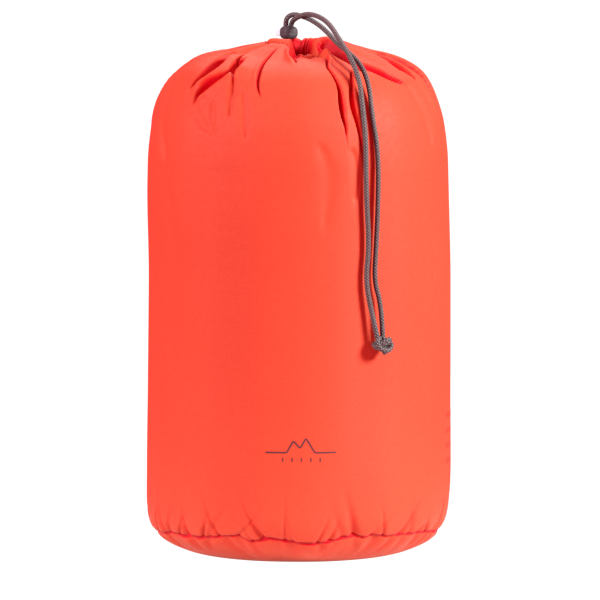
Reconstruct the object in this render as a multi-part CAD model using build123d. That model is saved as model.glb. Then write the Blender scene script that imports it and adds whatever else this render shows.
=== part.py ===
from build123d import *
from math import asin, atan2, cos, degrees, hypot, pi, radians, sin, sqrt, tan
import os

# Stuffed drawcord stuff sack, in millimetres.
# Frame: origin on the floor under the middle of the round base, +Z up to the mouth,
# -Y towards the face that the cord tails hang down.

# ---------------------------------------------------------------- driving dimensions
# Cloth shell. The thickness stands for the cloth and the filling's skin behind it.
SACK_R = 89.7
CLOTH = 1.0
WALL_LOW_Z, WALL_HIGH_Z = 38.0, 222.0
SEAM_R, SEAM_Z = 84.5, 14.0
BASE_FLAT_R = 42.0
SHOULDER = (84.2, 266.0)
BROW = (74.5, 288.0)
CROWN = (60.0, 297.0)
TOP = (4.0, 301.6)
ALLOWANCE_TOP_Z = 22.0

# Gathered hem round the mouth.
MOUTH_X, MOUTH_Y, HEM_Z = 0.8, -11.3, 302.2
HEM_R, HEM_TUBE_R = 13.5, 4.2
MOUTH_CUT = 40.0
EXIT_TURN = 28.0

# Sewing thread.
THREAD_R = 0.35
SIDE_SEAM_GAP = 6.0
HEM_STITCH_OUT = 6.5
BAR_TACK = (6.4, 1.0, 0.8)
BAR_TACK_OFF = 2.9

# Drawcord.
CORD_R = 1.5
STRAND_PITCH = 3.04
LOCK_TOP_RUN = 315.4
HEM_BEND_R = 3.2
KNOT_AT = (49.7, -81.8, 131.0)
KNOT_SIZE = (13.1, 9.4, 9.2)
KNOT_TILT = 12.0

# Cord lock: A runs from its closed end to its button, B is across it.
LOCK_Z = 310.6
LOCK_WIDTH, LOCK_HEIGHT = 9.1, 7.5
CLOSED_END, OPEN_END = -5.15, 3.7
LOCK_EDGE_R, NOSE_R, RIM_R = 3.0, 2.6, 1.8
SLOT_LENGTH, SLOT_WIDTH, SLOT_CORNER_R = 4.5, 6.3, 1.2
BORE_WIDTH, BORE_HEIGHT, BORE_CORNER_R = 7.5, 4.4, 1.2
BORE_END, POCKET_END, POCKET_R = -3.35, -4.35, 1.7
PLUNGER_FIT = 0.05
PLUNGER_INNER_END, BUTTON_END = -1.75, 9.8
PLUNGER_SLOT_WIDTH = 6.2
PRESS_TRAVEL = 1.4
CORD_IN_SLOT = 0.7
SPRING_R, SPRING_WIRE_R, SPRING_TURNS = 1.25, 0.2, 3.0

# Points that the two cord tails go round, from the hem to the knot. The first two of each
# are set by the lock, so they are added below.
FRONT_TAIL = [
    (-1.2, -4.4, 319.6),
    (7.4, -13.0, 322.8),
    (17.8, -28.8, 318.6),
    (25.0, -48.6, 307.8),
    (30.4, -63.6, 299.8),
    (35.9, -72.6, 287.4),
    (37.9, -77.2, 272.6),
    (40.1, -81.6, 250.4),
    (40.1, -83.4, 219.6),
    (41.9, -82.7, 189.4),
    (39.8, -83.6, 169.6),
    (43.0, -82.7, 151.4),
    (47.0, -82.8, 134.6),
]
BACK_TAIL = [
    (-6.4, 1.0, 319.4),
    (-2.6, 0.8, 321.6),
    (2.6, -3.6, 320.6),
    (9.0, -12.0, 318.2),
    (16.2, -25.4, 313.4),
    (23.8, -39.8, 305.2),
    (30.6, -54.2, 300.8),
    (38.0, -65.2, 293.2),
    (42.0, -71.6, 282.2),
    (43.6, -76.0, 265.6),
    (47.3, -78.7, 243.6),
    (47.2, -79.7, 214.4),
    (46.0, -80.4, 187.6),
    (44.8, -81.1, 168.6),
    (49.2, -79.6, 154.0),
    (49.9, -80.8, 134.6),
]

# ---------------------------------------------------------------- shared places
FOOT_ARC_R = ((WALL_LOW_Z - SEAM_Z) ** 2 / (SACK_R - SEAM_R) + SACK_R - SEAM_R) / 2
FOOT_CENTRE_R = SACK_R - FOOT_ARC_R
EXIT_DIR = (-sin(radians(EXIT_TURN)), cos(radians(EXIT_TURN)))
ACROSS = (EXIT_DIR[1], -EXIT_DIR[0])
HEM_TOP_Z = HEM_Z + HEM_TUBE_R
STRAND_REACH = hypot(HEM_R, HEM_BEND_R)
BEND_START = degrees(atan2(HEM_BEND_R, HEM_R) + asin(STRAND_PITCH / 2 / STRAND_REACH))
EXIT_R = HEM_R * cos(radians(BEND_START)) + HEM_BEND_R * sin(radians(BEND_START))
EXIT_X = MOUTH_X + EXIT_R * EXIT_DIR[0]
EXIT_Y = MOUTH_Y + EXIT_R * EXIT_DIR[1]
LOCK_PLANE = Plane(
    origin=(EXIT_X - CORD_IN_SLOT * EXIT_DIR[0], EXIT_Y - CORD_IN_SLOT * EXIT_DIR[1], LOCK_Z),
    x_dir=(EXIT_DIR[0], EXIT_DIR[1], 0),
    z_dir=(0, 0, 1),
)


def strand_xy(side):
    """Where a strand leaves the hem: side +1 is right of the exit, -1 is left."""
    offset = side * STRAND_PITCH / 2
    return EXIT_X + offset * ACROSS[0], EXIT_Y + offset * ACROSS[1]


# ---------------------------------------------------------------- cloth shell
def wall_lines():
    """The stuffed wall's outline in the XZ plane, from the base seam up to the mouth."""
    wall = Line((SACK_R, WALL_LOW_Z), (SACK_R, WALL_HIGH_Z))
    foot = TangentArc((SACK_R, WALL_LOW_Z), (SEAM_R, SEAM_Z), tangent=(0, -1))
    shoulder = TangentArc(wall @ 1, SHOULDER, tangent=wall % 1)
    brow = TangentArc(shoulder @ 1, BROW, tangent=shoulder % 1)
    crown = TangentArc(brow @ 1, CROWN, tangent=brow % 1)
    top = TangentArc(crown @ 1, TOP, tangent=crown % 1)
    return [foot, wall, shoulder, brow, crown, top]


def revolved_skin(lines, cloth_side):
    """Turn an open outline, thickened inwards by the cloth, round the sack's axis."""
    skin = offset(Wire(lines), amount=CLOTH, side=cloth_side)
    return revolve(Plane.XZ * make_face(skin.edges()), Axis.Z)


def hem_ring():
    return Pos(MOUTH_X, MOUTH_Y, HEM_Z) * Torus(HEM_R, HEM_TUBE_R)


def make_wall_panel():
    """The wall, stuffed round and drawn in at the top, cut open where the hem ring sits."""
    mouth = Pos(MOUTH_X, MOUTH_Y, HEM_Z) * Cylinder(HEM_R, MOUTH_CUT)
    pieces = revolved_skin(wall_lines(), Side.RIGHT) - mouth - hem_ring()
    return pieces.solids().sort_by(SortBy.VOLUME)[-1]


def inside_wall(height):
    """A point on the inner face of the wall's foot, at a height between seam and wall."""
    drop = WALL_LOW_Z - height
    return FOOT_CENTRE_R + sqrt((FOOT_ARC_R - CLOTH) ** 2 - drop**2), height


def make_base_panel():
    """The round base, with its edge turned up inside the wall as a seam allowance."""
    flat = Line((0, 0), (BASE_FLAT_R, 0))
    rise = TangentArc((BASE_FLAT_R, 0), inside_wall(SEAM_Z), tangent=(1, 0))
    allowance_mid = (SEAM_Z + ALLOWANCE_TOP_Z) / 2
    allowance = ThreePointArc(rise @ 1, inside_wall(allowance_mid), inside_wall(ALLOWANCE_TOP_Z))
    return revolved_skin([flat, rise, allowance], Side.LEFT)


# ---------------------------------------------------------------- sewing
def make_base_stitching():
    return Pos(0, 0, SEAM_Z) * Torus(SEAM_R, THREAD_R)


def make_side_seam_stitching():
    """Two rows of thread up the middle of the back, from the base to the hem."""
    row = Wire([Plane.YZ.from_local_coords(edge) for edge in Wire(wall_lines()[:5]).edges()])
    thread = sweep(Plane(origin=row @ 0, z_dir=row % 0) * Circle(THREAD_R), path=row)
    half_gap = SIDE_SEAM_GAP / 2
    return Compound([Pos(side * half_gap, 0, 0) * thread for side in (-1, 1)])


def make_hem_stitching():
    return Pos(MOUTH_X, MOUTH_Y, TOP[1] - CLOTH / 2) * Torus(HEM_R + HEM_STITCH_OUT, THREAD_R)


def make_exit_bar_tacks():
    """A bar of zigzag thread on the hem at each side of the cord exit."""
    at_exit = Plane((EXIT_X, EXIT_Y, HEM_TOP_Z - BAR_TACK[2] / 2), (*ACROSS, 0), (0, 0, 1))
    bar = Box(*BAR_TACK)
    return Compound([at_exit * Pos(0, side * BAR_TACK_OFF, 0) * bar for side in (-1, 1)])


# ---------------------------------------------------------------- drawcord
def tube(path, radius):
    return sweep(Plane(origin=path @ 0, z_dir=path % 0) * Circle(radius), path=path)


def ring_point(turn, out=0.0):
    """A point on the hem's centre line, turned from the exit, and its tangent there."""
    angle = radians(EXIT_TURN + 90 + turn)
    spot = Vector(MOUTH_X + (HEM_R + out) * cos(angle), MOUTH_Y + (HEM_R + out) * sin(angle), HEM_Z)
    return spot, Vector(-sin(angle), cos(angle), 0)


def make_hem_cord():
    """The cord's loop inside the hem, with both ends turned up to leave at its top."""
    up = Vector(0, 0, 1)
    right, right_way = ring_point(-BEND_START)
    left, left_way = ring_point(BEND_START)
    far, _ = ring_point(180)
    run_in = HEM_BEND_R * (1 - cos(radians(45)))
    run_on = HEM_BEND_R * sin(radians(45))
    edges = []
    for start, way in ((right, right_way), (left, -left_way)):
        foot = start + way * HEM_BEND_R
        bend_mid = start + way * run_on + up * run_in
        edges.append(ThreePointArc(start, bend_mid, foot + up * HEM_BEND_R))
        edges.append(Line(foot + up * HEM_BEND_R, foot + up * HEM_TUBE_R))
    edges.append(ThreePointArc(right, far, left))
    return tube(Wire(edges), CORD_R)


def tail_path(side, route):
    """Straight runs through the route's points, joined by arcs as large as they allow."""
    x, y = strand_xy(side)
    points = [Vector(x, y, HEM_TOP_Z), Vector(x, y, LOCK_TOP_RUN), *map(Vector, route)]
    radii = []
    for before, corner, after in zip(points, points[1:], points[2:]):
        run_in, run_out = corner - before, after - corner
        turn = radians(run_in.get_angle(run_out))
        radii.append(0.45 * min(run_in.length, run_out.length) / tan(turn / 2))
    return FilletPolyline(points, radius=radii), radii


def make_tail(name, side, route):
    path, radii = tail_path(side, route)
    solid = tube(path, CORD_R)
    share = solid.volume / (pi * CORD_R**2 * path.length)
    print(name, "length", round(path.length, 1), "volume share", round(share, 4))
    print("  radii", [round(radius, 1) for radius in radii])
    return solid


def make_knot():
    """The knot that joins both tails: a lump, wider than it is high."""
    lump = scale(Sphere(0.5), by=KNOT_SIZE)
    return Pos(*KNOT_AT) * Rot(0, KNOT_TILT, 0) * lump


# ---------------------------------------------------------------- cord lock
def rounded_bar(width, height, corner_r, start, end):
    """A rounded bar along A, from start to end, at the lock's centre height."""
    face = Plane.YZ * RectangleRounded(width, height, corner_r)
    return Pos(start, 0, 0) * extrude(face, end - start, dir=(1, 0, 0))


def cord_slot(start, end, width):
    """The upright slot that both strands pass through."""
    outline = RectangleRounded(end - start, width, SLOT_CORNER_R)
    return Pos((start + end) / 2, 0, 0) * extrude(outline, LOCK_HEIGHT, both=True)


def make_lock_barrel():
    body = rounded_bar(LOCK_WIDTH, LOCK_HEIGHT, LOCK_EDGE_R, CLOSED_END, OPEN_END)
    ends = body.edges().group_by(Axis.X)
    body = fillet(ends[0], NOSE_R)
    body = fillet(body.edges().group_by(Axis.X)[-1], RIM_R)
    bore = rounded_bar(BORE_WIDTH, BORE_HEIGHT, BORE_CORNER_R, BORE_END, 2 * OPEN_END)
    pocket = Pos(POCKET_END, 0, 0) * Rot(0, 90, 0) * Cylinder(
        POCKET_R, BORE_END - POCKET_END, align=(Align.CENTER, Align.CENTER, Align.MIN)
    )
    slot = cord_slot(-SLOT_LENGTH / 2, SLOT_LENGTH / 2, SLOT_WIDTH)
    return LOCK_PLANE * (body - bore - pocket - slot)


def make_lock_plunger():
    width, height = BORE_WIDTH - 2 * PLUNGER_FIT, BORE_HEIGHT - 2 * PLUNGER_FIT
    corner_r = BORE_CORNER_R - PLUNGER_FIT
    body = rounded_bar(width, height, corner_r, PLUNGER_INNER_END, BUTTON_END)
    body = fillet(body.edges().group_by(Axis.X)[-1], 1.0)
    shift = PRESS_TRAVEL
    slot = cord_slot(shift - SLOT_LENGTH / 2, shift + SLOT_LENGTH / 2, PLUNGER_SLOT_WIDTH)
    return LOCK_PLANE * (body - slot)


def make_lock_spring():
    length = PLUNGER_INNER_END - POCKET_END - 2 * SPRING_WIRE_R
    coil = Helix(length / SPRING_TURNS, length, SPRING_R)
    wire = tube(coil, SPRING_WIRE_R)
    return LOCK_PLANE * Pos(POCKET_END + SPRING_WIRE_R, 0, 0) * Rot(0, 90, 0) * wire


# ---------------------------------------------------------------- all parts
def make_parts():
    hem_cord = make_hem_cord()
    return {
        "wall_panel": make_wall_panel(),
        "base_panel": make_base_panel(),
        "cord_hem": hem_ring() - hem_cord,
        "base_seam_stitching": make_base_stitching(),
        "side_seam_stitching": make_side_seam_stitching(),
        "hem_stitching": make_hem_stitching(),
        "exit_bar_tacks": make_exit_bar_tacks(),
        "drawcord_in_hem": hem_cord,
        "drawcord_tail_front": make_tail("front tail", 1, FRONT_TAIL),
        "drawcord_tail_back": make_tail("back tail", -1, BACK_TAIL),
        "cord_knot": make_knot(),
        "lock_barrel": make_lock_barrel(),
        "lock_plunger": make_lock_plunger(),
        "lock_spring": make_lock_spring(),
    }


os.makedirs("parts", exist_ok=True)
for node, part in make_parts().items():
    export_step(part, f"parts/{node}.step")
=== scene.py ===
import math

import bmesh
import bpy
import numpy as np
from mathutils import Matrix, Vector


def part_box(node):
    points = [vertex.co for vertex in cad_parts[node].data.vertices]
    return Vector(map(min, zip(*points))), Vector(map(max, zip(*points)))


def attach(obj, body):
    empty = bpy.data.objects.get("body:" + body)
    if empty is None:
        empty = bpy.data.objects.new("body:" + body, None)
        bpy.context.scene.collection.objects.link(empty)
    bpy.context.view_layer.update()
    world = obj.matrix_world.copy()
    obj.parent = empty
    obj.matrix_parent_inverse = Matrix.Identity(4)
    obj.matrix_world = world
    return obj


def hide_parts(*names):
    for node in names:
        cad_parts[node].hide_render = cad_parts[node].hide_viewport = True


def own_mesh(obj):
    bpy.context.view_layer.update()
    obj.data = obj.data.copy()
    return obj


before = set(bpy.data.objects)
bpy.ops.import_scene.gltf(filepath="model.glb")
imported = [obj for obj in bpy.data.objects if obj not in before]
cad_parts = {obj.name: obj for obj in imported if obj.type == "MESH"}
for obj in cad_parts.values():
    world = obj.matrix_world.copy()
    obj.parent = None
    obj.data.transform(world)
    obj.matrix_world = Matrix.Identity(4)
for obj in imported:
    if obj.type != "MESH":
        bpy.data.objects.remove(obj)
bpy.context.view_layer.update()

# A stuffed drawcord stuff sack. Places on the cloth are given as an azimuth, 0 towards the
# front (-Y) and growing towards +X, and a distance: "drop" is down the cloth from the foot of
# the hem round the mouth, and "rise" is up it from the base seam. The tables are in degrees
# and millimetres, and the functions work in radians and metres.
MM = 0.001

# ---------------------------------------------------------------- sizes
SACK_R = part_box("wall_panel")[1].x
hem_low, hem_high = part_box("cord_hem")
SEAM_R = 84.5 * MM
MOUTH = (hem_low + hem_high) / 2
HEM_TUBE_R = (hem_high.z - hem_low.z) / 2
HEM_R = (hem_high.x - hem_low.x) / 2 - HEM_TUBE_R
CORD_R = 1.5 * MM

# Half outline of the stuffed wall, from the base seam up to the foot of the hem.
OUTLINE = [
    (84.5, 14.0), (88.3, 23.5), (89.7, 38.0), (89.7, 100.0), (89.7, 160.0), (89.7, 222.0),
    (88.7, 245.0), (85.0, 265.0), (75.0, 284.6), (60.0, 293.9), (38.0, 299.4), (18.6, 300.8),
]
# The hem's section, as distance out from the ring's middle line and height over it.
HEM_SECTION = [
    (5.1, 2.6), (3.6, 3.7), (1.3, 4.1), (-1.2, 3.7), (-3.2, 2.2), (-4.2, -0.4), (-4.0, -4.0),
    (-3.2, -8.5), (-2.6, -13.0),
]


# ---------------------------------------------------------------- small tools
def smoothstep(t):
    """0 below 0, 1 above 1, and a smooth rise between."""
    t = np.clip(t, 0.0, 1.0)
    return t * t * (3.0 - 2.0 * t)


def smooth_line(points, steps=24):
    """Points along a centripetal Catmull-Rom curve through these points."""
    p = np.array(points, float)
    q = np.vstack([2 * p[0] - p[1], p, 2 * p[-1] - p[-2]])
    found = []
    for a, b, c, d in zip(q, q[1:], q[2:], q[3:]):
        t0 = 0.0
        t1 = t0 + np.linalg.norm(b - a) ** 0.5
        t2 = t1 + np.linalg.norm(c - b) ** 0.5
        t3 = t2 + np.linalg.norm(d - c) ** 0.5
        t = np.linspace(t1, t2, steps, endpoint=False)[:, None]
        ab = ((t1 - t) * a + (t - t0) * b) / (t1 - t0)
        bc = ((t2 - t) * b + (t - t1) * c) / (t2 - t1)
        cd = ((t3 - t) * c + (t - t2) * d) / (t3 - t2)
        abc = ((t2 - t) * ab + (t - t0) * bc) / (t2 - t0)
        bcd = ((t3 - t) * bc + (t - t1) * cd) / (t3 - t1)
        found.append(((t2 - t) * abc + (t - t1) * bcd) / (t2 - t1))
    found.append(p[-1:])
    return np.vstack(found)


def line_lengths(points):
    """Distance along a line of points, at each of them."""
    return np.concatenate([[0.0], np.cumsum(np.linalg.norm(np.diff(points, axis=0), axis=1))])


def resampled(points, count):
    """The same line with points spaced evenly along it."""
    run = line_lengths(points)
    at = np.linspace(0.0, run[-1], count)
    return np.column_stack([np.interp(at, run, points[:, i]) for i in range(points.shape[1])])


def mesh_object(name, vertices, faces, material, smooth=True):
    """A new mesh in the scene, with one material."""
    mesh = bpy.data.meshes.new(name)
    mesh.from_pydata(np.asarray(vertices).tolist(), [], [list(face) for face in faces])
    mesh.materials.append(material)
    if smooth:
        mesh.shade_smooth()
    made = bpy.data.objects.new(name, mesh)
    bpy.context.scene.collection.objects.link(made)
    return made


def put_attribute(obj, name, kind, values):
    """Stores a value at each vertex, which the materials read."""
    field = {"FLOAT": "value", "FLOAT_VECTOR": "vector"}[kind]
    attribute = obj.data.attributes.new(name, kind, "POINT")
    attribute.data.foreach_set(field, np.ascontiguousarray(values, np.float32).ravel())


def grid_faces(rows, columns, closed=False):
    """Quads of a grid of vertices stored row by row."""
    across = columns if closed else columns - 1
    r, c = np.meshgrid(np.arange(rows - 1), np.arange(across), indexing="ij")
    right = (c + 1) % columns
    low, high = r * columns, (r + 1) * columns
    return np.stack([low + c, low + right, high + right, high + c], -1).reshape(-1, 4)


def tube_frames(points):
    """Two directions across a line at each point, which turn as little as they can."""
    along = np.gradient(points, axis=0)
    along /= np.linalg.norm(along, axis=1)[:, None]
    side = np.cross(along[0], (0.0, 0.0, 1.0))
    if np.linalg.norm(side) < 1e-3:
        side = np.cross(along[0], (1.0, 0.0, 0.0))
    sides = []
    for t in along:
        side = side - t * (side @ t)
        side = side / np.linalg.norm(side)
        sides.append(side)
    sides = np.array(sides)
    return sides, np.cross(along, sides)


def tube_mesh(points, radii, segments):
    """Vertices and quads of a closed round tube; radii is one row for each point."""
    sides, ups = tube_frames(points)
    angle = np.arange(segments) * 2 * math.pi / segments
    ring = sides[:, None] * np.cos(angle)[None, :, None] + ups[:, None] * np.sin(angle)[None, :, None]
    vertices = (points[:, None] + ring * radii[..., None]).reshape(-1, 3)
    faces = grid_faces(len(points), segments, closed=True).tolist()
    first, last = len(vertices), len(vertices) + 1
    vertices = np.vstack([vertices, points[0], points[-1]])
    end = (len(points) - 1) * segments
    for k in range(segments):
        faces.append([first, (k + 1) % segments, k])
        faces.append([last, end + k, end + (k + 1) % segments])
    return vertices, faces


# ---------------------------------------------------------------- camera
def add_camera():
    """Looks along +Y from 5 m, four degrees above the level of the sack's middle."""
    target = Vector((1.5, 0.0, 151.7)) * MM
    distance, tilt, sensor = 5.0, math.radians(4.0), 36.0
    frame_width = 0.3564
    data = bpy.data.cameras.new("camera")
    data.sensor_width = sensor
    data.lens = sensor * distance / frame_width
    data.clip_start, data.clip_end = 0.5, 60.0
    camera = bpy.data.objects.new("camera", data)
    bpy.context.scene.collection.objects.link(camera)
    back = Vector((0.0, -math.cos(tilt), math.sin(tilt)))
    camera.location = target + back * distance
    camera.rotation_mode = "QUATERNION"
    camera.rotation_quaternion = (-back).to_track_quat("-Z", "Y")
    bpy.context.scene.camera = camera


# ---------------------------------------------------------------- node materials
class Paint:
    """A material's node tree, with short ways to add and join nodes."""

    def __init__(self, name, **sockets):
        self.material = bpy.data.materials.new(name)
        self.material.use_nodes = True
        self.tree = self.material.node_tree
        self.shader = self.tree.nodes["Principled BSDF"]
        for key, value in sockets.items():
            self.shader.inputs[key.replace("_", " ")].default_value = value

    def node(self, kind, inputs=(), **settings):
        made = self.tree.nodes.new(kind)
        for key, value in settings.items():
            setattr(made, key, value)
        for key, value in dict(inputs).items():
            self.plug(made.inputs[key], value)
        return made

    def plug(self, socket, value):
        if isinstance(value, bpy.types.NodeSocket):
            self.tree.links.new(value, socket)
        else:
            socket.default_value = value

    def math(self, operation, a, b=0.0):
        return self.node("ShaderNodeMath", {0: a, 1: b}, operation=operation).outputs[0]

    def ramp(self, value, low, high, to_low=0.0, to_high=1.0):
        inputs = {"Value": value, "From Min": low, "From Max": high, "To Min": to_low, "To Max": to_high}
        return self.node("ShaderNodeMapRange", inputs, clamp=True).outputs[0]

    def mix(self, share, a, b):
        made = self.node("ShaderNodeMix", data_type="RGBA")
        self.plug(made.inputs["Factor"], share)
        self.plug(made.inputs[6], a)
        self.plug(made.inputs[7], b)
        return made.outputs[2]

    def noise(self, where, scale, detail=3.0, rough=0.5):
        inputs = {"Vector": where, "Scale": scale, "Detail": detail, "Roughness": rough}
        return self.node("ShaderNodeTexNoise", inputs).outputs["Fac"]

    def attribute(self, name, output="Fac"):
        return self.node("ShaderNodeAttribute", attribute_name=name).outputs[output]

    def place(self):
        """A point's place on its own object, the same in every pose."""
        return self.node("ShaderNodeTexCoord").outputs["Object"]

    def bump(self, height, distance, strength):
        inputs = {"Height": height, "Distance": distance, "Strength": strength}
        return self.node("ShaderNodeBump", inputs).outputs[0]

    def finish(self, colour=None, roughness=None, normal=None):
        for name, value in (("Base Color", colour), ("Roughness", roughness), ("Normal", normal)):
            if value is not None:
                self.plug(self.shader.inputs[name], value)
        return self.material


def cloth_material():
    """Bright red-orange ripstop nylon: a fine diamond grid, soft sheen, and painted shade in its folds.
    Its fold attribute is 0 on open cloth, 1 for a fold's painted shade and 2 for the deepest painted
    shade."""
    # lit is the cloth's own colour; deep and the colour below it are painted shade for folds, hollows
    # and seams.
    lit, deep = (0.52, 0.062, 0.027, 1.0), (0.54, 0.0004, 0.010, 1.0)
    deepest_shade = (0.34, 0.0002, 0.010, 1.0)
    diamond, line_share, steepness = 2.0 * MM, 0.16, 0.72
    p = Paint("ripstop_cloth", Roughness=0.55, Sheen_Weight=0.08, Sheen_Roughness=0.4)
    p.shader.inputs["Sheen Tint"].default_value = (1.0, 0.45, 0.25, 1.0)
    p.shader.inputs["Specular IOR Level"].default_value = 0.18
    where = p.attribute("cloth_place", "Vector")
    split = p.node("ShaderNodeSeparateXYZ", {0: where})
    u, v = split.outputs[0], split.outputs[1]
    cloud, grid, grime = (0.48, 0.052, 0.023, 1.0), (0.68, 0.12, 0.066, 1.0), (0.42, 0.022, 0.014, 1.0)
    lines = None
    for sign in (1.0, -1.0):
        along = p.math("MULTIPLY", v, sign * steepness)
        across = p.math("DIVIDE", p.math("ADD", u, along), diamond)
        tent = p.math("ABSOLUTE", p.math("SUBTRACT", p.math("FRACT", across), 0.5))
        line = p.ramp(tent, 0.5 - line_share, 0.5)
        lines = line if lines is None else p.math("MAXIMUM", lines, line)
    blotch = p.noise(where, 22.0, 2.0)
    cloudy = p.noise(where, 260.0, 4.0, 0.6)
    shade = p.mix(p.ramp(blotch, 0.3, 0.7, 0.0, 0.35), lit, cloud)
    shade = p.mix(p.math("MULTIPLY", lines, 0.26), shade, grid)
    shade = p.mix(p.ramp(cloudy, 0.35, 0.75, 0.0, 0.18), shade, grime)
    # Painted shade: the fold attribute mixes the cloth towards the two shade colours in folds, hollows
    # and seams.
    shade_paint = p.attribute("fold_shade_paint")
    shade = p.mix(p.ramp(shade_paint, 0.0, 1.0), shade, deep)
    shade = p.mix(p.ramp(shade_paint, 1.0, 2.0), shade, deepest_shade)
    height = p.math("ADD", p.math("MULTIPLY", lines, 0.7), p.math("MULTIPLY", cloudy, 0.5))
    return p.finish(shade, p.ramp(cloudy, 0.2, 0.8, 0.5, 0.64), p.bump(height, 0.12 * MM, 0.5))


def thread_material():
    """Red polyester sewing thread with its twist."""
    p = Paint("sewing_thread", Roughness=0.55)
    p.shader.inputs["Specular IOR Level"].default_value = 0.3
    twist = p.node("ShaderNodeTexWave", {"Vector": p.place(), "Scale": 900.0, "Distortion": 1.5})
    colour = p.mix(twist.outputs["Fac"], (0.24, 0.001, 0.008, 1.0), (0.38, 0.003, 0.010, 1.0))
    return p.finish(colour, None, p.bump(twist.outputs["Fac"], 0.05 * MM, 0.6))


def cord_material():
    """Braided cord of dark grey and pale grey yarns."""
    dark, pale = (0.008, 0.009, 0.011, 1.0), (0.27, 0.285, 0.29, 1.0)
    p = Paint("braided_cord", Roughness=0.6, Sheen_Weight=0.12, Sheen_Roughness=0.5)
    fibres = p.noise(p.place(), 4200.0, 3.0, 0.7)
    patch = p.noise(p.place(), 300.0, 2.0)
    # The yarn attribute holds the pale yarns and the painted shade between yarns.
    colour = p.mix(p.attribute("pale_yarns_and_crevice_shade"), dark, pale)
    colour = p.mix(p.ramp(fibres, 0.4, 0.7, 0.0, 0.3), colour, (0.050, 0.054, 0.056, 1.0))
    colour = p.mix(p.ramp(patch, 0.45, 0.7, 0.0, 0.2), colour, (0.040, 0.042, 0.044, 1.0))
    return p.finish(colour, p.ramp(fibres, 0.3, 0.7, 0.5, 0.75), p.bump(fibres, 0.05 * MM, 0.6))


def lock_material():
    """Satin dark grey moulded plastic, with the mould's parting line round its middle."""
    p = Paint("lock_plastic", Roughness=0.55)
    p.shader.inputs["Specular IOR Level"].default_value = 0.32
    low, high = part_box("lock_barrel")
    middle = (low.z + high.z) / 2
    height = p.node("ShaderNodeSeparateXYZ", {0: p.place()}).outputs[2]
    seam = p.ramp(p.math("ABSOLUTE", p.math("SUBTRACT", height, middle)), 0.03 * MM, 0.12 * MM)
    grain = p.noise(p.place(), 2600.0, 3.0, 0.6)
    cloud = p.noise(p.place(), 300.0, 2.0)
    colour = p.mix(p.ramp(cloud, 0.3, 0.7), (0.036, 0.043, 0.050, 1.0), (0.049, 0.058, 0.067, 1.0))
    colour = p.mix(seam, (0.045, 0.041, 0.045, 1.0), colour)
    relief = p.math("ADD", p.math("MULTIPLY", grain, 0.25), p.math("MULTIPLY", seam, 0.5))
    return p.finish(colour, p.ramp(grain, 0.3, 0.7, 0.5, 0.64), p.bump(relief, 0.12 * MM, 0.8))


def plunger_material():
    """Milky translucent plastic, with a faint glow for the light that comes through it."""
    p = Paint("plunger_plastic", Roughness=0.32, Subsurface_Weight=0.4, Subsurface_Scale=1.2 * MM)
    p.shader.inputs["Emission Color"].default_value = (0.12, 0.80, 0.95, 1.0)
    p.shader.inputs["Emission Strength"].default_value = 0.30
    p.shader.inputs["Subsurface Radius"].default_value = (1.0, 0.95, 0.9)
    cloud = p.noise(p.place(), 420.0, 2.0)
    grain = p.noise(p.place(), 2400.0, 2.0)
    colour = p.mix(p.ramp(cloud, 0.3, 0.7), (0.50, 0.62, 0.66, 1.0), (0.58, 0.70, 0.74, 1.0))
    return p.finish(colour, p.ramp(grain, 0.3, 0.7, 0.26, 0.4), p.bump(grain, 0.05 * MM, 0.5))


def steel_material():
    """Drawn spring wire with fine marks."""
    p = Paint("spring_steel", Roughness=0.3, Metallic=1.0)
    marks = p.noise(p.place(), 1800.0, 4.0)
    colour = p.mix(p.ramp(marks, 0.3, 0.7), (0.42, 0.42, 0.44, 1.0), (0.62, 0.62, 0.63, 1.0))
    return p.finish(colour, p.ramp(marks, 0.3, 0.7, 0.22, 0.42), p.bump(marks, 0.02 * MM, 0.5))


def ink_material():
    """Thin dark printing ink, worn a little in small patches."""
    p = Paint("printed_ink", Roughness=0.6)
    worn = p.noise(p.place(), 1500.0, 3.0, 0.6)
    fresh, rubbed = (0.060, 0.020, 0.026, 1.0), (0.20, 0.022, 0.022, 1.0)
    colour = p.mix(p.ramp(worn, 0.5, 0.75, 0.0, 0.5), fresh, rubbed)
    return p.finish(colour, p.ramp(worn, 0.3, 0.7, 0.5, 0.7), p.bump(worn, 0.04 * MM, 0.4))


def floor_material():
    """Matt pale paper with a trace of tone, glowing a little as a white room's floor would."""
    p = Paint("floor_paper", Roughness=0.9)
    p.shader.inputs["Specular IOR Level"].default_value = 0.0
    colour = p.mix(p.noise(p.place(), 3.0, 2.0), (0.6, 0.6, 0.6, 1.0), (0.588, 0.588, 0.588, 1.0))
    p.shader.inputs["Emission Color"].default_value = (1.0, 0.95, 0.9, 1.0)
    p.shader.inputs["Emission Strength"].default_value = 0.5
    return p.finish(colour)


add_camera()
CLOTH = cloth_material()
THREAD = thread_material()
BRAID = cord_material()
INK = ink_material()


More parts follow.
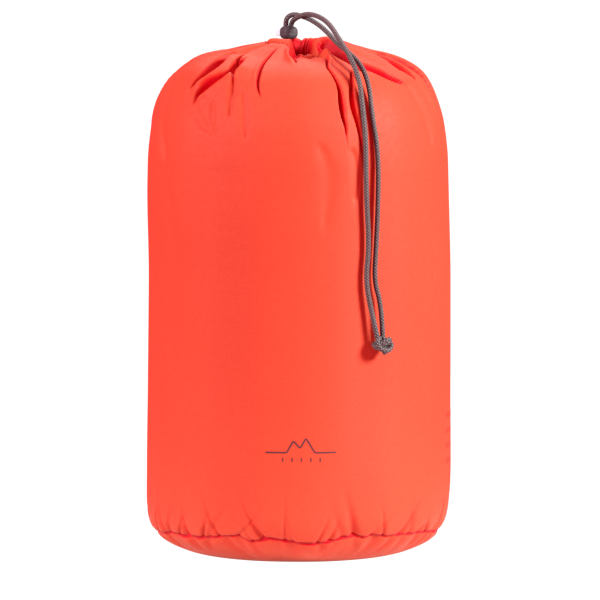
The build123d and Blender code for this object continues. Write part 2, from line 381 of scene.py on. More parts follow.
# ---------------------------------------------------------------- cord tails
# The routes are the CAD tubes' own points.
FRONT_TAIL = [
    (-4.332, 1.590, 306.4), (-4.332, 1.590, 315.4), (-1.2, -4.4, 319.6), (7.4, -13.0, 322.8),
    (17.8, -28.8, 318.6), (25.0, -48.6, 307.8), (30.4, -63.6, 299.8), (35.9, -72.6, 287.4),
    (37.9, -77.2, 272.6), (40.1, -81.6, 250.4), (40.1, -83.4, 219.6), (41.9, -82.7, 189.4),
    (39.8, -83.6, 169.6), (43.0, -82.7, 151.4), (47.0, -82.8, 134.6),
]
BACK_TAIL = [
    (-7.016, 0.163, 306.4), (-7.016, 0.163, 315.4), (-6.4, 1.0, 319.4), (-2.6, 0.8, 321.6),
    (2.6, -3.6, 320.6), (9.0, -12.0, 318.2), (16.2, -25.4, 313.4), (23.8, -39.8, 305.2),
    (30.6, -54.2, 300.8), (38.0, -65.2, 293.2), (42.0, -71.6, 282.2), (43.6, -76.0, 265.6),
    (47.3, -78.7, 243.6), (47.2, -79.7, 214.4), (46.0, -80.4, 187.6), (44.8, -81.1, 168.6),
    (49.2, -79.6, 154.0), (49.9, -80.8, 134.6),
]
FRONT_LENGTH, BACK_LENGTH = 0.2601, 0.2627
# The overhand knot's line, about the knot's middle: x right, y towards the back, z up.
KNOT_LINE = [
    (-1.6, -0.6, 4.2), (-2.8, -2.2, 1.4), (-1.2, -3.0, -2.0), (2.6, -1.6, -3.2), (4.6, 0.8, -0.8),
    (2.6, 2.0, 1.6), (-1.6, 2.2, 1.0), (-4.4, 0.4, -0.6), (-2.4, -1.8, -1.4), (1.2, -2.8, 1.2),
    (3.6, -1.2, 2.4), (3.2, 1.8, 0.0), (1.0, 1.2, -2.6), (1.8, -0.6, -4.2),
]


def nurbs_points(name, route):
    """Points along the smooth NURBS line that a route's points control."""
    curve = bpy.data.curves.new(name, "CURVE")
    curve.dimensions = "3D"
    spline = curve.splines.new("NURBS")
    spline.points.add(len(route) - 1)
    for point, place in zip(spline.points, route):
        point.co = (*(Vector(place) * MM), 1.0)
    spline.order_u = 3
    spline.use_endpoint_u = True
    spline.resolution_u = 24
    holder = bpy.data.objects.new(name, curve)
    bpy.context.scene.collection.objects.link(holder)
    depsgraph = bpy.context.evaluated_depsgraph_get()
    line = bpy.data.meshes.new_from_object(holder.evaluated_get(depsgraph))
    points = np.array([v.co for v in line.vertices], float)
    bpy.data.objects.remove(holder)
    bpy.data.curves.remove(curve)
    bpy.data.meshes.remove(line)
    return points


def braid_relief(rows, segments, spacing, radius):
    """How far each point of a braided tube stands proud, and which yarns are pale, faded dark by painted
    shade towards their edges.
    """
    carriers, cell = 8, 0.92 * MM
    along = np.arange(rows)[:, None] * spacing / cell
    around = np.arange(segments)[None, :] * carriers / segments
    a, b = around + along, around - along
    bump_a = np.sqrt(np.clip(1 - (2 * (a % 1.0) - 1) ** 2, 0, 1))
    bump_b = np.sqrt(np.clip(1 - (2 * (b % 1.0) - 1) ** 2, 0, 1))
    over = (np.floor(a) + np.floor(b)) % 2 < 1
    relief = np.where(over, bump_a, bump_b)
    pale = np.where(over & (np.floor(a) % 2 == 0), 1.0, 0.03)
    # Painted shade: the pale yarns darken towards their edges, where they dip between yarns.
    return radius * (0.88 + 0.13 * relief), pale * relief ** 2


def braided_tube(name, line, radius):
    """A length of braided cord along a line, which rides the sack."""
    segments, spacing = 40, 0.22 * MM
    rows = max(8, int(line_lengths(line)[-1] / spacing))
    points = resampled(line, rows)
    radii, pale = braid_relief(rows, segments, spacing, radius)
    vertices, faces = tube_mesh(points, radii, segments)
    made = mesh_object(name, vertices, faces, BRAID)
    put_attribute(made, "pale_yarns_and_crevice_shade", "FLOAT", np.concatenate([pale.ravel(), [0.5, 0.5]]))
    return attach(made, "sack")


def add_knot():
    """Both tails tied together in one overhand knot: two strands side by side all the way."""
    low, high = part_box("cord_knot")
    middle = np.array((low + high) / 2) + np.array((0.0, 0.0, 0.2)) * MM
    line = smooth_line(np.array(KNOT_LINE) * MM, 20) + middle
    sides, ups = tube_frames(line)
    shift, strand_r, pieces = (sides * 0.45 + ups * 0.65) * 1.15 * MM, 1.42 * MM, []
    for name, side in (("knot_strand_a", 1.0), ("knot_strand_b", -1.0)):
        pieces.append(braided_tube(name, line + shift * side, strand_r))
    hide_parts("cord_knot")
    return pieces


def add_tails():
    """Both tails from the hem to the knot, as limp cords that hang down the wall."""
    knot = add_knot()
    for name, route, length, node in (
        ("cord_tail_front", FRONT_TAIL, FRONT_LENGTH, "drawcord_tail_front"),
        ("cord_tail_back", BACK_TAIL, BACK_LENGTH, "drawcord_tail_back"),
    ):
        line = nurbs_points(name, route)
        tail = braided_tube(name, line, CORD_R)
        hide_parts(node)


add_tails()


# ---------------------------------------------------------------- cloth wall
# Gathers pressed in from the hem. Each is the points of its crease, as azimuth, drop (mm)
# and half width (mm), then how deep it is (mm), how far one side laps over it (mm, + where
# the cloth of the smaller azimuths is on top), and the strength of its painted shade: 1 a
# fold's usual shade, above 1 darker still.
FOLDS = [
    ([(-66, 22, 1.0), (-59, 31, 3.2), (-53, 41, 5.0), (-50, 50, 5.0), (-49.5, 57, 3.6),
      (-51, 63, 1.5), (-53, 68, 0.2)], 7.0, -0.3, 1.0),
    ([(-52, 16, 0.6), (-45, 28, 1.2), (-39, 40, 1.8), (-36, 49, 2.4), (-38, 54, 3.2),
      (-42, 61, 4.0), (-45, 68, 3.0), (-47, 73, 1.6), (-48, 77, 0.2)], 5.8, -0.8, 1.0),
    ([(-39, 28, 0.8), (-36, 38, 2.2), (-33.5, 47, 2.4), (-32, 53, 1.0), (-30, 60, 0.5),
      (-28, 72, 0.2)], 4.0, -0.6, 1.0),
    ([(-28, 6, 0.5), (-26, 18, 0.8), (-21.5, 38, 1.0), (-19.5, 52, 1.2), (-18.5, 60, 1.1),
      (-17, 66, 0.7), (-14, 73, 0.2)], 3.6, 0.8, 1.0),
    ([(-12, 4, 0.6), (-8, 16, 1.4), (-4, 26, 1.4), (-2, 32, 0.8), (-1, 37, 0.2)], 3.2, 0.9, 1.0),
    ([(27, 17, 0.8), (21, 30, 1.0), (17, 42, 0.9), (17.5, 54, 0.9), (18.5, 64, 1.3),
      (18.5, 74, 2.0), (18.5, 82, 1.6), (19, 90, 0.7), (19, 102, 0.2)], 4.2, -1.2, 1.0),
    ([(30, 44, 0.5), (25.5, 58, 1.2), (23.5, 68, 1.7), (23, 77, 1.7), (24, 87, 1.2), (25, 97, 0.7),
      (25.5, 108, 0.2)], 3.6, -0.9, 1.0),
    ([(33, 36, 1.2), (37, 43, 2.0), (41, 49, 2.3), (46, 56, 2.1), (52, 60.5, 1.6), (57, 63, 0.5)],
     5.6, -0.2, 1.6),
    ([(52, -5, 2.5), (47, 6, 4.0), (41, 18, 4.4), (37, 30, 3.6), (35, 40, 2.0), (34, 52, 0.3)],
     5.5, -0.8, 1.7),
]
# Shallow creases without an overlap, written the same way.
SOFT_FOLDS = [
    ([(-53, 66, 2.0), (-46, 79, 4.0), (-40, 88, 3.0), (-36, 94, 1.0)], 1.1),
    ([(-38, 72, 1.5), (-36, 82, 2.2), (-35, 96, 1.0)], 0.8),
    ([(-31, 56, 1.5), (-29, 68, 2.5), (-28, 84, 1.0)], 1.2),
    ([(-24, 66, 1.5), (-22, 80, 3.0), (-20, 98, 1.5)], 1.0),
    ([(-72, 60, 2.0), (-68, 86, 5.0), (-60, 112, 2.0)], 1.8),
    ([(-86, 40, 2.0), (-78, 56, 5.0), (-72, 74, 2.0)], 1.8),
    ([(58, 60, 2.0), (62, 84, 5.0), (64, 104, 2.0)], 1.4),
    ([(74, 36, 2.0), (70, 56, 5.0), (74, 80, 2.0)], 1.8),
    ([(48, 14, 2.0), (56, 28, 4.0), (62, 44, 2.0)], 1.6),
    ([(8, 96, 2.0), (12, 118, 5.0), (10, 150, 2.0)], 0.8),
    ([(21, 100, 1.5), (23, 116, 3.0), (22, 134, 1.5)], 1.0),
    ([(-84, 90, 2.0), (-78, 130, 6.0), (-80, 190, 4.0), (-78, 240, 2.0)], 1.2),
    ([(80, 80, 2.0), (76, 120, 6.0), (79, 180, 4.0), (76, 230, 2.0)], 1.2),
    ([(-58, 120, 3.0), (-54, 170, 8.0), (-57, 250, 3.0)], 0.8),
]
# Where the mouth sinks in front: azimuths of its left and right edges at each drop (mm),
# and how far it sinks there (mm).
NOTCH = [(-20, -14, 44, 8.6), (2, -12, 38, 7.8), (8, -10, 33, 6.0), (17, -7, 27, 2.6),
         (24, -5, 24, 1.1), (34, -2, 20, 0.3), (44, 0, 17, 0.0)]
# A lobe of cloth that stands up right of the sunk part: azimuth, drop, half sizes, height.
LOBE = (66, 12, 16, 20, 3.4)
MOUTH_RISE = 3.6 * MM
# How far the base seam wavers up (mm) at each azimuth of the front.
SEAM_WAVER = [
    (-90, 0.4), (-70, 0.6), (-62, 2.2), (-52, 0.9), (-42, 1.4), (-35, 2.6), (-24, 3.7),
    (-19, 0.0), (-11, 2.9), (0, 0.0), (7, -0.5), (13, 0.5), (19, 3.2), (24, 3.9), (28, 2.8),
    (31, 4.4), (38, 2.8), (50, 2.4), (60, 2.7), (72, 1.2), (90, 0.4),
]
COLUMNS = 640
FRONT_CROWDING = 0.35
# The dome of the wall starts at this height, and its rings shift to the mouth from this radius.
DOME_Z, SHIFT_START_R = 224 * MM, 86 * MM
# The half width at which a fold has its whole depth, and how far the filling leans right.
FULL_WIDTH, LEAN = 1.6 * MM, 1.1 * MM
rng = np.random.default_rng(7)


def wall_rows():
    """Radius, height, and length up the cloth of each row of the wall, then of the hem."""
    line = smooth_line(np.array(OUTLINE) * MM)
    run = line_lengths(line)
    foot_end, dome_start, top = 0.030, np.interp(0.214, line[:, 1], run), run[-1]
    at = np.concatenate([
        np.linspace(0.0, foot_end, 30, endpoint=False),
        np.linspace(foot_end, dome_start, 40, endpoint=False),
        np.linspace(dome_start, top, 140),
    ])
    hem = resampled(smooth_line(np.array(HEM_SECTION) * MM, 8), 30)
    return line, run, at, hem


def waves(azimuth, along, count, low, high, size):
    """A sum of seeded soft waves over the cloth, about `size` high."""
    total = np.zeros(np.broadcast(azimuth, along).shape)
    for _ in range(count):
        around = rng.integers(low, high)
        total += np.cos(around * azimuth + rng.uniform(-22, 22) * along + rng.uniform(0, 6.28))
    return total * size / math.sqrt(count)


def crease(azimuth, drop, radius, points):
    """One pressed fold: how much of it there is, its half width, and the distance across it
    in half widths, + towards growing azimuth."""
    line = smooth_line(points, 8)
    at = np.maximum.accumulate(line[:, 1]) * MM
    centre = np.interp(drop, at, np.radians(line[:, 0]))
    width = np.interp(drop, at, line[:, 2], left=0.0, right=0.0) * MM
    start, end = at[0], at[-1]
    ends = np.minimum(drop - start, end - drop) / (0.12 * (end - start))
    slope = radius * np.gradient(centre, axis=0) / np.gradient(drop, axis=0)
    gap = np.angle(np.exp(1j * (azimuth - centre)))
    across = radius * gap / np.sqrt(1 + slope ** 2) / np.maximum(width, 0.2 * MM)
    return smoothstep(ends), width, across


def pleats(azimuth, drop):
    """Radial gathers round the mouth, finer towards the hem: three sets, each with its count
    round the mouth, its phase, the drop where it is highest, its reach and its height (mm)."""
    warp = waves(azimuth, np.zeros_like(drop), 5, 2, 9, 0.16)
    d = drop / MM
    total = np.zeros_like(drop)
    for count, shift, middle, reach, high in (
        (19, 0.0, -3, 9.0, 1.0), (11, 1.1, 18, 20.0, 1.3), (7, 0.4, 50, 28.0, 1.4),
    ):
        wave = np.cos(count * (azimuth + warp) + shift)
        sharp = 1.0 - 2.0 * (0.5 - 0.5 * wave) ** 2.2
        total += high * sharp * np.exp(-((d - middle) / reach) ** 2)
    return total * MM


def back_folds():
    """Seeded folds for the sides and back, like the ones that show in front."""
    found = []
    azimuth = 78.0
    while azimuth < 286.0:
        start, length = rng.uniform(4, 34), rng.uniform(34, 72)
        lean, wide, widest = rng.uniform(-9, 9), rng.uniform(1.1, 2.8), rng.uniform(0.35, 0.75)
        shares = ((0.0, 0.2), (widest * 0.5, 0.5), (widest, 1.0), (widest * 0.4 + 0.6, 0.45), (1.0, 0.1))
        points = [(azimuth + lean * t, start + length * t, wide * w) for t, w in shares]
        lap = rng.choice([-1.0, 1.0]) * rng.uniform(0.6, 1.3)
        found.append((points, rng.uniform(2.6, 5.0), lap, 1.0))
        azimuth += rng.uniform(8, 16)
    return found


def unit(vectors):
    """The same directions at length 1."""
    return vectors / np.linalg.norm(vectors, axis=-1)[..., None]


def stuffed_shape(azimuth, line, run, at, hem):
    """The smooth wall and hem: places, normals, tangents and ring radii, row by row."""
    rows = len(at)
    # Rings shift from the sack's middle to the mouth's as they close in.
    radius = np.concatenate([np.interp(at, run, line[:, 0]), HEM_R + hem[1:, 0]])[:, None]
    shift = smoothstep((SHIFT_START_R - radius) / (SHIFT_START_R - HEM_R))
    x = MOUTH.x * shift + radius * np.sin(azimuth)
    y = MOUTH.y * shift - radius * np.cos(azimuth)
    row_z = np.interp(at, run, line[:, 1])[:, None]
    dome = line[line[:, 1] > DOME_Z - 2 * MM]
    order = np.argsort(dome[:, 0])
    dome_z = np.interp(np.hypot(x[:rows], y[:rows]), dome[order, 0], dome[order, 1])
    z_wall = np.where(row_z > DOME_Z, dome_z, row_z + 0 * x[:rows])
    z_wall = z_wall + MOUTH_RISE * smoothstep((46 * MM - radius[:rows]) / (28 * MM))
    z_hem = MOUTH.z + hem[1:, 1][:, None] + 0 * x[rows:]
    place = np.stack([x, y, np.vstack([z_wall, z_hem])], -1)

    across = np.gradient(place, axis=1)
    across[:, 0] = across[:, -1] = place[:, 1] - place[:, -2]
    upward = np.gradient(place, axis=0)
    return place, unit(np.cross(across, upward)), unit(across), np.broadcast_to(radius, azimuth.shape)


def gathered_mouth(azimuth, drop):
    """How far the gathers and the lobe stand out; in front the cloth is drawn nearly flat."""
    front = np.exp(-((azimuth - math.radians(4)) / math.radians(58)) ** 4)
    sunken = np.exp(-((azimuth - math.radians(14)) / math.radians(34)) ** 4)
    gather = pleats(azimuth, drop)
    out = gather * (1 - 0.75 * front * smoothstep((drop - 3 * MM) / (8 * MM)))
    out -= 0.8 * gather * sunken * smoothstep((3 * MM - drop) / (4 * MM))
    at, along, half_turn, half_drop, high = LOBE
    lobe = ((np.degrees(azimuth) - at) / half_turn) ** 2 + ((drop / MM - along) / half_drop) ** 2
    return out + high * MM * np.exp(-lobe)


def pressed_folds(azimuth, drop, radius):
    """All folds together: how far they move the cloth out and sideways, and how much painted shade they
    take.
    """
    out, side, shade_paint = (np.zeros(azimuth.shape) for _ in range(3))
    for points, deep, lap, red in FOLDS + back_folds():
        present, width, t = crease(azimuth, drop, radius, points)
        hand = math.copysign(1.0, lap)
        size = present * np.clip(width / FULL_WIDTH, 0.25, 1.3)
        groove = present * np.exp(-np.abs(t) ** 5)
        lip = size * np.exp(-((t * hand + 1.6) / 0.9) ** 2)
        step = size * np.exp(-np.clip(-t * hand - 1.2, 0, None) / 6.0) * smoothstep(-t * hand / 1.5)
        out += (-deep * groove * np.clip(width / FULL_WIDTH, 0.3, 1.0) + 0.5 * lip + 0.7 * step) * MM
        side += lap * size * np.exp(-((t * hand + 1.0) / 0.9) ** 2) * MM
        # Painted shade over the crease and its far wall, times the fold's shade strength (its red
        # value).
        paint = present * smoothstep((1.32 - np.abs(t)) / 0.36)
        shade_paint = np.maximum(shade_paint, red * paint * smoothstep(width / (0.7 * MM)))
    for points, deep in SOFT_FOLDS:
        present, width, t = crease(azimuth, drop, radius, points)
        out -= deep * present * np.exp(-t ** 2) * MM
    return out, side, shade_paint


def sunken_front(azimuth, drop, radius):
    """In front the mouth's edge sinks between a flap on its left and a ridge on its right: how
    far it sinks, how far its edges stand out, and where its hollow is, which gets painted shade."""
    at_drop, left, right, sinks = np.array(NOTCH).T
    left, right = (np.interp(drop, at_drop * MM, np.radians(side_of)) for side_of in (left, right))
    soft = 1.6 * MM
    from_left, from_right = radius * (azimuth - left) / soft, radius * (right - azimuth) / soft
    sunk = smoothstep(from_left / 2 + 0.5) * smoothstep(from_right / 2 + 0.5)
    sunk *= np.interp(drop, at_drop * MM, sinks) * MM
    near_edge = np.exp(-(from_left + 1.2) ** 2) + np.exp(-(from_right + 1.2) ** 2)
    edges = 0.9 * MM * near_edge * smoothstep((46 * MM - drop) / (20 * MM))
    hollow = np.exp(-((from_left - 1.5) / 2.2) ** 2) * smoothstep((26 * MM - drop) / (8 * MM))
    return sunk, edges, hollow


def seam_waver(azimuth):
    """How far the base seam stands above its lowest line at each azimuth."""
    waver_at, waver = np.array(SEAM_WAVER).T
    degrees = np.degrees(azimuth)
    back = 1.4 + 1.3 * np.cos(9 * azimuth + 0.6) + 0.9 * np.cos(14 * azimuth + 2.0)
    return np.where(np.abs(degrees) < 90, np.interp(degrees, waver_at, waver), back) * MM


def wall_points():
    """Every vertex of the wall and hem: places, cloth places and painted fold shade, row by row."""
    line, run, at, hem = wall_rows()
    turn = np.linspace(-math.pi, math.pi, COLUMNS + 1)[None, :]
    turn = turn - FRONT_CROWDING * np.sin(turn)
    rise = np.concatenate([at, run[-1] + line_lengths(hem)[1:]])[:, None]
    azimuth, drop = np.broadcast_arrays(turn, run[-1] - rise)
    rise = run[-1] - drop
    place, normal, tangent, radius = stuffed_shape(azimuth, line, run, at, hem)

    out = waves(azimuth, rise, 7, 2, 7, 0.4 * MM) + waves(azimuth, rise, 9, 9, 22, 0.26 * MM)
    out += LEAN * np.sin(azimuth) * smoothstep(rise / 0.04) * smoothstep((0.21 - rise) / 0.06)
    out += gathered_mouth(azimuth, drop)
    folds_out, side, shade_paint = pressed_folds(azimuth, drop, radius)
    sunk, edges, hollow = sunken_front(azimuth, drop, radius)
    out += folds_out + edges
    # Painted shade in the sunk mouth's hollow, next to its left edge.
    shade_paint = np.maximum(shade_paint, 1.2 * hollow)

    # The base seam is drawn in, and puckers the cloth over it; shade is painted in the puckers and,
    # darker, along the seam line.
    lift = seam_waver(azimuth)
    puckers = seam_puckers(azimuth, rise, radius)
    out -= 1.6 * MM * np.exp(-(rise / (1.8 * MM)) ** 2) + puckers * MM
    shade_paint = np.maximum(shade_paint, 0.25 * np.clip(puckers, 0, 1.4) / 1.4)
    shade_paint = np.maximum(shade_paint, 1.7 * np.exp(-(rise / (0.7 * MM)) ** 2))

    place = place + normal * out[..., None] + tangent * side[..., None]
    place[..., 2] += lift * np.exp(-rise / (16 * MM)) - sunk
    # Painted shade, darker, on the inside of the hem.
    shade_paint = np.maximum(shade_paint, 1.2 * smoothstep((-drop - 4.5 * MM) / (5 * MM)))
    place[:, 0] = place[:, -1] = (place[:, 0] + place[:, -1]) / 2
    cloth = np.stack([azimuth * SACK_R, rise, 0 * rise], -1)
    return place, cloth, shade_paint, azimuth[0], drop[:, 0], lift[0]


def seam_puckers(azimuth, rise, radius):
    """Short leaning dents over the base seam, where its thread draws the cloth up."""
    total, count = np.zeros_like(azimuth * rise), 58
    for k in range(count):
        middle = (k + rng.uniform(-0.3, 0.3)) * 2 * math.pi / count - math.pi
        length, width = rng.uniform(6, 20) * MM, rng.uniform(0.9, 2.4) * MM
        lean, deep = rng.uniform(-0.6, 0.9), rng.uniform(0.8, 2.8)
        gap = radius * np.angle(np.exp(1j * (azimuth - middle))) - lean * rise
        fade = np.exp(-(rise / length) ** 2) * smoothstep(rise / (1.2 * MM) + 0.25)
        total = total + deep * fade * np.exp(-(gap / width) ** 2)
    return total


def add_wall():
    """The wall and its hem as one sheet, open at the back where its two edges meet."""
    place, cloth, shade_paint, azimuths, drops, lift = wall_points()
    rows, columns = shade_paint.shape
    wall = mesh_object("wall_cloth", place.reshape(-1, 3), grid_faces(rows, columns), CLOTH)
    put_attribute(wall, "cloth_place", "FLOAT_VECTOR", cloth)
    put_attribute(wall, "fold_shade_paint", "FLOAT", shade_paint)
    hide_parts("wall_panel", "cord_hem")
    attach(wall, "sack")
    return wall, place, azimuths, drops, lift


wall, wall_place, wall_azimuths, wall_drops, seam_lift = add_wall()


def on_wall(azimuth, drop):
    """Places on the finished wall, for azimuths (radians) and drops (metres)."""
    azimuth = (np.asarray(azimuth) + math.pi) % (2 * math.pi) - math.pi
    column = np.interp(azimuth, wall_azimuths, np.arange(len(wall_azimuths)))
    row = np.interp(-np.asarray(drop), -wall_drops, np.arange(len(wall_drops)))
    c, r = np.floor(column).astype(int), np.floor(row).astype(int)
    c, r = np.minimum(c, len(wall_azimuths) - 2), np.minimum(r, len(wall_drops) - 2)
    s, t = (column - c)[..., None], (row - r)[..., None]
    low = wall_place[r, c] * (1 - s) + wall_place[r, c + 1] * s
    high = wall_place[r + 1, c] * (1 - s) + wall_place[r + 1, c + 1] * s
    return low * (1 - t) + high * t


# ---------------------------------------------------------------- base panel
# Half outline of the base: radius and height, mm, up to the edge that is turned in at the seam.
BASE_FLAT_R = 44.0
BASE_OUTLINE = [
    (0.0, 0.0), (BASE_FLAT_R, 0.0), (58.0, 1.6), (70.0, 4.8), (78.0, 8.4), (82.4, 12.0), (83.4, 14.0),
    (82.6, 17.0), (80.8, 21.0),
]


def base_dents(angle, radius):
    """Leaning dents under the seam, where its thread draws the base up."""
    dents, count = 0 * radius, 44
    inward = SEAM_R - radius
    for k in range(count):
        middle = (k + rng.uniform(-0.3, 0.3)) * 2 * math.pi / count - math.pi
        lean, width = rng.uniform(-0.5, 0.5), rng.uniform(1.8, 3.6) * MM
        reach = rng.uniform(8, 22) * MM
        gap = radius * np.angle(np.exp(1j * (angle - middle))) - lean * inward
        dents += rng.uniform(0.5, 2.0) * MM * np.exp(-(inward / reach) ** 2 - (gap / width) ** 2)
    return dents


def add_base(lift):
    """The round base: flat where it stands, then rising in puckers to the seam."""
    flat_r = BASE_FLAT_R * MM
    line = resampled(smooth_line(np.array(BASE_OUTLINE) * MM, 12), 70)
    angle = np.linspace(-math.pi, math.pi, 361)[:-1][None, :]
    radius, z = line[:, :1] + 0 * angle, line[:, 1:] + 0 * angle
    up = smoothstep((radius - flat_r) / (SEAM_R - flat_r))
    seam_share = smoothstep((radius - 62 * MM) / (22 * MM))
    around = np.interp(angle[0], wall_azimuths, lift)
    dents = base_dents(angle, radius)
    bulge = waves(angle, radius * 3, 6, 3, 12, 0.35 * MM) * up
    radius = radius - dents * 0.6 * seam_share
    z = z + dents * 0.8 * seam_share + around * seam_share + np.maximum(bulge, -z)
    place = np.stack([radius * np.sin(angle), -radius * np.cos(angle), np.maximum(z, 0.0)], -1)

    rows, columns = radius.shape
    faces = grid_faces(rows, columns, closed=True)[columns:, ::-1].tolist()
    faces += [[0, columns + k, columns + (k + 1) % columns] for k in range(columns)]
    base = mesh_object("base_cloth", place.reshape(-1, 3), faces, CLOTH)
    put_attribute(base, "cloth_place", "FLOAT_VECTOR", place * np.array((1.0, 1.0, 0.0)))
    # Painted shade: darkest on the edge turned in under the seam, lighter in the dents.
    seam_edge_shade = 1.5 * smoothstep((line[:, 1:] - 13.6 * MM) / (0.6 * MM))
    shade = np.maximum(0.25 * np.clip(dents / (1.4 * MM), 0, 1), seam_edge_shade)
    put_attribute(base, "fold_shade_paint", "FLOAT", shade)
    remove_loose(base)
    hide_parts("base_panel")
    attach(base, "sack")
    return base


def remove_loose(obj):
    """Deletes vertices that no face uses."""
    bm = bmesh.new()
    bm.from_mesh(obj.data)
    bmesh.ops.delete(bm, geom=[v for v in bm.verts if not v.link_faces], context="VERTS")
    bm.to_mesh(obj.data)
    bm.free()


base = add_base(seam_lift)


# ---------------------------------------------------------------- stitches
def add_stitches(name, line, node, pitch, gap, radius):
    """A row of separate lockstitches along a line that lies on the cloth; gap is roughly the
    share of the pitch that is left open between two of them."""
    count = max(2, int(line_lengths(line)[-1] / pitch))
    fine = resampled(line, count * 8 + 1)
    vertices, faces = [], []
    for k in range(count):
        piece = fine[k * 8: k * 8 + 9]
        piece = resampled(piece, 7)[: 7 - int(round(7 * gap)) + 1]
        ends = np.sin(np.linspace(0.35, math.pi - 0.35, len(piece)))[:, None] ** 0.5
        made, quads = tube_mesh(piece, np.repeat(ends * radius, 6, axis=1), 6)
        faces += [[i + len(vertices) for i in quad] for quad in quads]
        vertices += made.tolist()
    row = mesh_object(name, vertices, faces, THREAD)
    if node:
        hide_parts(node)
    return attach(row, "sack")


def outward(points, distance):
    """Points moved away from the sack's axis."""
    flat = points * np.array((1.0, 1.0, 0.0))
    return points + flat / np.linalg.norm(flat, axis=1)[:, None] * distance


def add_seams():
    """The base seam, the two rows up the back seam, and the row below the hem."""
    turn = np.linspace(-math.pi, math.pi, 1441)
    seam = outward(on_wall(turn, 0 * turn + wall_drops[0] - 0.9 * MM), 0.12 * MM)
    add_stitches("base_seam_stitches", seam, "base_seam_stitching", 3.0 * MM, 0.14, 0.42 * MM)

    drops = np.linspace(wall_drops[0] - 2 * MM, 3 * MM, 900)
    radii = np.hypot(*on_wall(0 * drops + math.pi, drops)[:, :2].T)
    for name, side in (("back_seam_stitches_left", 1.0), ("back_seam_stitches_right", -1.0)):
        row = outward(on_wall(math.pi + side * 3.0 * MM / radii, drops), 0.12 * MM)
        node = "side_seam_stitching" if side > 0 else None
        add_stitches(name, row, node, 3.0 * MM, 0.25, 0.26 * MM)

    ring = on_wall(turn, 0 * turn + 1.6 * MM) + np.array((0.0, 0.0, 0.15)) * MM
    add_stitches("hem_stitches", ring, "hem_stitching", 2.8 * MM, 0.25, 0.26 * MM)


def add_bar_tacks():
    """A short bar of tight zigzag on the hem at each side of the cord's exit."""
    low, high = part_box("exit_bar_tacks")
    middle = np.array((low + high) / 2)
    out = middle[:2] - np.array((MOUTH.x, MOUTH.y))
    out /= np.linalg.norm(out)
    across = np.array((out[1], -out[0]))
    hem = wall_place[wall_drops < 0].reshape(-1, 3)
    rows, steps = [], np.arange(27)
    aside, length, wide = 2.9 * MM, 6.4 * MM, 1.0 * MM
    for side in (-1.0, 1.0):
        flat = (middle[:2] + out * side * aside + across * (steps[:, None] / 26 - 0.5) * length
                + out * ((steps % 2) - 0.5)[:, None] * wide)
        near = [hem[np.argmin(np.linalg.norm(hem[:, :2] - p, axis=1) - hem[:, 2] * 0.4)] for p in flat]
        heights = np.maximum(np.array(near)[:, 2], middle[2] - 1.5 * MM) + 0.2 * MM
        rows.append(tube_mesh(np.column_stack([flat, heights]), np.full((27, 6), 0.24 * MM), 6))
    vertices = np.vstack([rows[0][0], rows[1][0]])
    faces = rows[0][1] + [[i + len(rows[0][0]) for i in face] for face in rows[1][1]]
    tacks = mesh_object("bar_tack_stitches", vertices, faces, THREAD)
    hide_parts("exit_bar_tacks")
    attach(tacks, "sack")


def add_hem_cord():
    """The drawcord's loop inside the hem, which sinks with it in front, and its two risers."""
    turn = np.linspace(-math.pi, math.pi, 181)
    around = [on_wall(turn, np.full_like(turn, -share * MM)) for share in (0.5, 3.0, 6.0, 9.0)]
    line = np.mean(around, axis=0)
    lowest = np.min([np.roll(line[:-1, 2], k) for k in range(-5, 6)], axis=0)
    line[:, 2] = np.append(lowest, lowest[0]) - 2.8 * MM
    loop = braided_tube("hem_cord", line, CORD_R * 0.9)
    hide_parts("drawcord_in_hem")
    for name, route in (("hem_cord_riser_front", FRONT_TAIL), ("hem_cord_riser_back", BACK_TAIL)):
        up = np.array(route[0]) * MM
        riser = np.column_stack([np.repeat(up[None, :2], 12, axis=0), np.linspace(MOUTH.z, up[2], 12)])
        braided_tube(name, riser, CORD_R)


add_seams()
add_bar_tacks()
add_hem_cord()


# ---------------------------------------------------------------- printed marks
def ink_strip(line, width):
    """A flat printed strip along a line of azimuths (degrees) and drops (mm) on the wall."""
    steps, lines = 40, 9
    path = resampled(np.array(line, float) * (math.radians(1) * SACK_R / MM, 1.0), steps)
    along = np.gradient(path, axis=0)
    along /= np.linalg.norm(along, axis=1)[:, None]
    aside = np.column_stack([-along[:, 1], along[:, 0]]) * width / 2
    spread = np.linspace(-1, 1, lines)[None, :, None]
    flat = path[:, None] + aside[:, None] * spread
    places = on_wall(flat[..., 0] * MM / SACK_R, flat[..., 1] * MM).reshape(-1, 3)
    return outward(places, 0.12 * MM), grid_faces(steps, lines)


def add_print(name, strips):
    """One printed mark made of several strips, given as line and width."""
    vertices, faces = [], []
    for line, width in strips:
        made, quads = ink_strip(line, width)
        faces += (quads + sum(len(v) for v in vertices)).tolist()
        vertices.append(made)
    mark = mesh_object(name, np.vstack(vertices), faces, INK)
    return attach(mark, "sack")


def bars(azimuth, drop, count, pitch, length):
    """A row of short upright bars."""
    starts = [azimuth + k * pitch for k in range(count)]
    return [([(start, drop), (start, drop + length)], 0.8) for start in starts]


peaks = [(-12, 279), (-4, 279), (-1.5, 272), (1, 276.5), (3.2, 270.5), (6.5, 279), (14.5, 279)]
add_print("front_mark", [(peaks, 1.0)] + bars(-5.5, 282, 5, 3.5, 2.4))
side_rows = [bars(75, drop, count, 2.6, 3.2) for drop, count in ((261, 8), (270, 9), (279, 8), (288, 6))]
add_print("side_mark", [bar for row in side_rows for bar in row])


# ---------------------------------------------------------------- CAD pieces
def repaint(node, material):
    """Gives a CAD node its procedural material."""
    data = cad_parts[node].data
    data.materials.clear()
    data.materials.append(material)


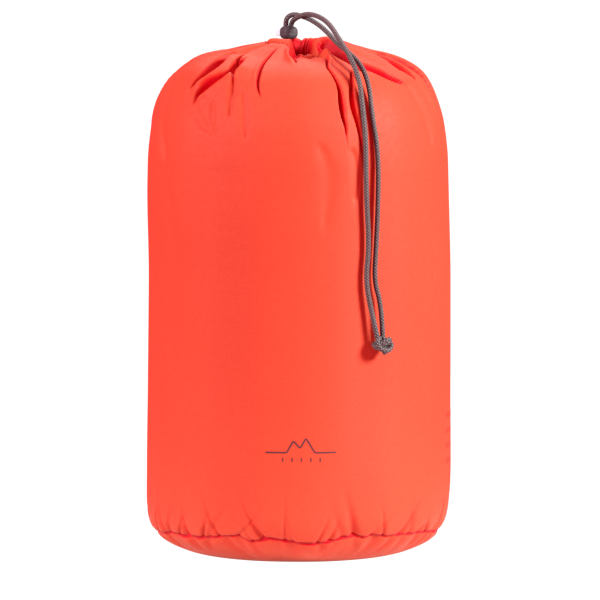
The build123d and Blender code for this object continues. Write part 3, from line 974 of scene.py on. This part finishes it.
def add_spring():
    """The lock's coil spring, which rides with the lock."""
    coil_r, wire_r, turns = 1.25 * MM, 0.2 * MM, 3
    length, press = 2.5 * MM, 1.4 * MM
    low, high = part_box("lock_spring")
    exit_turn = math.radians(28)
    out = np.array((-math.sin(exit_turn), math.cos(exit_turn), 0.0))
    aside, up = np.array((out[1], -out[0], 0.0)), np.array((0.0, 0.0, 1.0))
    angle = np.linspace(0.0, turns * 2 * math.pi, turns * 24 + 1)[:, None]
    run = np.linspace(-0.5, 0.5, len(angle))[:, None] * (length - 2 * wire_r)
    middle = np.array((low + high) / 2)
    line = middle + run * out + coil_r * (np.cos(angle) * aside + np.sin(angle) * up)
    vertices, faces = tube_mesh(line, np.full((len(line), 10), wire_r), 10)
    spring = mesh_object("spring_coil", vertices, faces, steel_material())
    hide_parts("lock_spring")
    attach(spring, "lock")
    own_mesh(spring)


repaint("lock_barrel", lock_material())
repaint("lock_plunger", plunger_material())
add_spring()


# ---------------------------------------------------------------- stage and light
def add_stage():
    """A floor that only bounces light, and a sky seen as white which lights shadows red, as
    the glow through filled red cloth does."""
    count, floor_r = 96, 0.22
    turn = np.arange(count) * 2 * math.pi / count
    rim = np.column_stack([np.cos(turn), np.sin(turn), 0 * turn]) * floor_r
    floor = mesh_object("floor", rim, [range(count)], floor_material(), False)
    floor.visible_camera = False
    world = bpy.data.worlds.new("studio")
    bpy.context.scene.world = world
    world.use_nodes = True
    tree = world.node_tree
    sky = tree.nodes["Background"]
    path = tree.nodes.new("ShaderNodeLightPath")
    seen = tree.nodes.new("ShaderNodeMath")
    seen.operation = "MAXIMUM"
    tree.links.new(path.outputs["Is Camera Ray"], seen.inputs[0])
    tree.links.new(path.outputs["Is Transmission Ray"], seen.inputs[1])
    tint = tree.nodes.new("ShaderNodeMix")
    tint.data_type = "RGBA"
    red_glow, white = (0.95, 0.03, 0.13, 1.0), (1.1, 1.1, 1.1, 1.0)
    tint.inputs[6].default_value, tint.inputs[7].default_value = red_glow, white
    tree.links.new(seen.outputs[0], tint.inputs["Factor"])
    tree.links.new(tint.outputs[2], sky.inputs["Color"])


def add_softbox(name, azimuth, elevation, size, power, colour):
    """A square lamp facing the sack's middle; azimuth 0 is in front of it, + to the right."""
    middle, distance = Vector((0, 0, 0.16)), 1.8
    data = bpy.data.lights.new(name, "AREA")
    data.shape, data.size, data.energy, data.color = "SQUARE", size, power, colour
    lamp = bpy.data.objects.new(name, data)
    bpy.context.scene.collection.objects.link(lamp)
    a, e = math.radians(azimuth), math.radians(elevation)
    towards = Vector((math.sin(a) * math.cos(e), -math.cos(a) * math.cos(e), math.sin(e)))
    lamp.location = middle + towards * distance
    lamp.rotation_mode = "QUATERNION"
    lamp.rotation_quaternion = (-towards).to_track_quat("-Z", "Y")


add_stage()
add_softbox("key_right", azimuth=62, elevation=24, size=0.45, power=68, colour=(1.0, 0.98, 0.92))
add_softbox("fill_left", azimuth=-64, elevation=24, size=0.9, power=36, colour=(1.0, 0.98, 0.95))
add_softbox("top_back", azimuth=170, elevation=58, size=1.2, power=18, colour=(1.0, 1.0, 1.0))
bpy.context.scene.view_settings.view_transform = "Standard"
